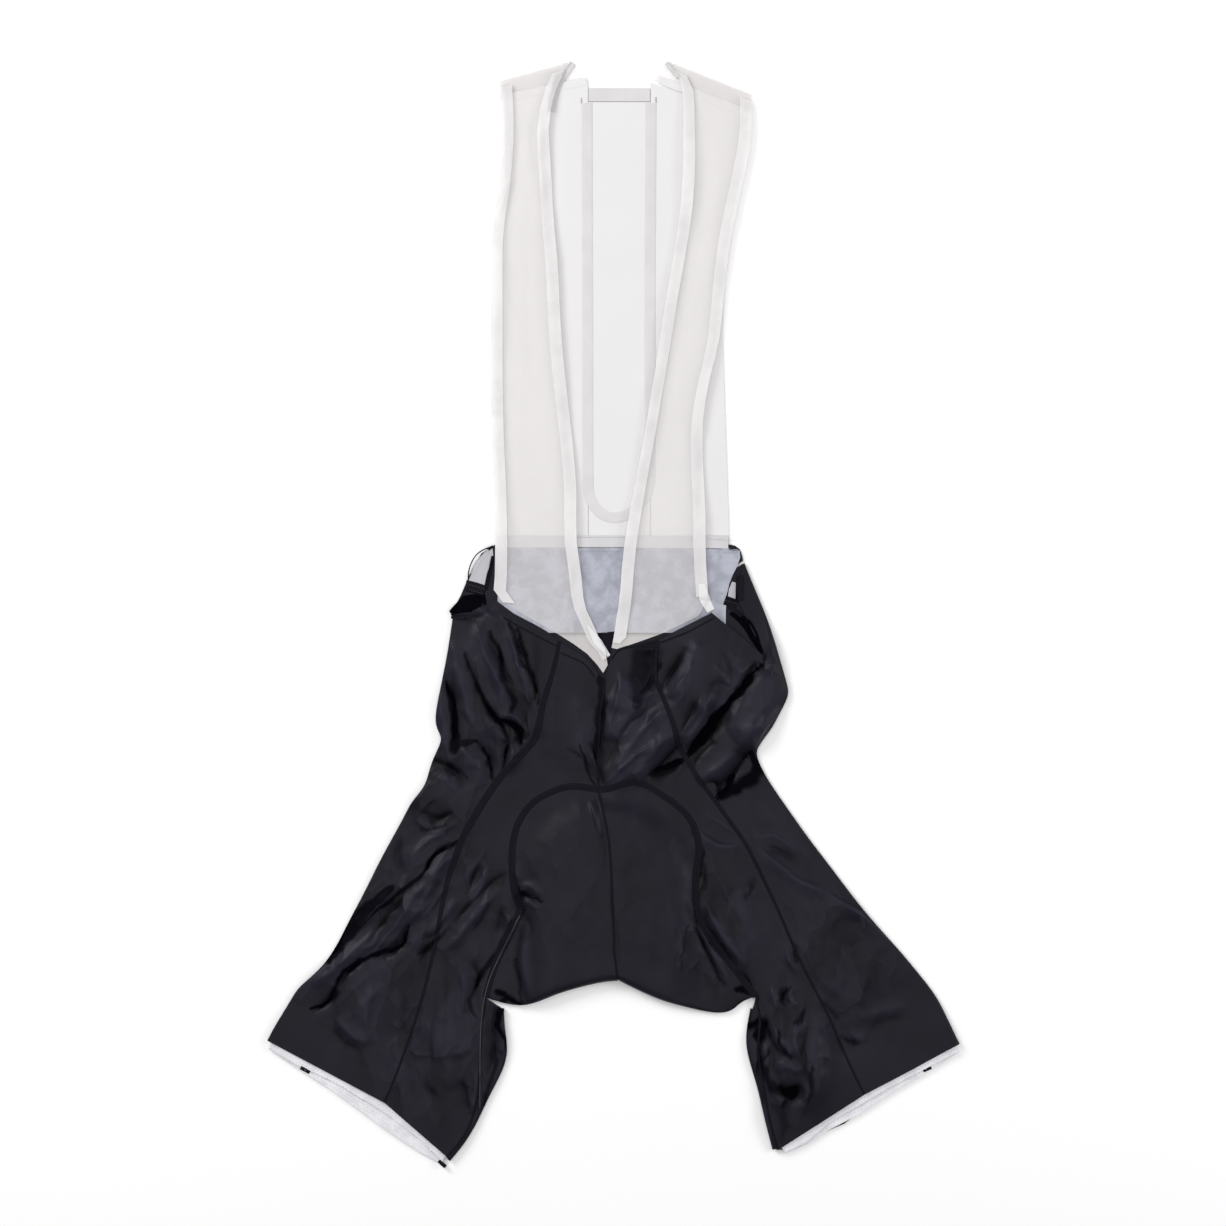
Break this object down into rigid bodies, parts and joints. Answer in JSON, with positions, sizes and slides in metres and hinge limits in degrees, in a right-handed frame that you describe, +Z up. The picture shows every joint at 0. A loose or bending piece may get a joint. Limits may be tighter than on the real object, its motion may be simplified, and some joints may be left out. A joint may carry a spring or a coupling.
{
  "type": "cycling bib shorts",
  "caption": "Bib shorts laid flat, front up: black stretch shorts with a seat pad and hem bands, white mesh back and straps over the shoulders.",
  "frame": {"origin": "middle of the garment's outline in plan, on the surface that it lies on", "axes": "+Y towards the shoulders, +X to the right as seen from above, +Z up out of the garment's front"},
  "size_m": [0.6018, 0.959, 0.0145],
  "materials": {
    "stretch": "smooth stretch knit, slight sheen",
    "mesh": "fine open mesh, matt",
    "binding": "soft elastic binding, matt",
    "lining": "fine mesh over black, matt",
    "gripper": "elastic band with small grip dots inside",
    "pad": "foam pad under knit"
  },
  "bodies": {
    "root": {"front_panel_left": "stretch", "front_panel_right": "stretch", "side_panel_left": "stretch", "side_panel_right": "stretch", "gusset_left": "stretch", "gusset_right": "stretch", "inner_leg_left": "stretch", "inner_leg_right": "stretch", "back_panel_left": "stretch", "back_panel_right": "stretch", "seat_pad": "pad", "hem_gripper_left": "gripper", "hem_gripper_right": "gripper", "back_mesh_left": "mesh", "back_mesh_right": "mesh", "back_mesh_centre": "mesh", "neck_band": "binding", "waist_band": "binding", "waist_lining": "lining", "waist_elastic_left": "binding", "waist_elastic_right": "binding", "strap_left": "mesh", "strap_right": "mesh", "outer_binding_left": "binding", "outer_binding_right": "binding", "inner_binding_left": "binding", "inner_binding_right": "binding"}
  },
  "joints": []
}
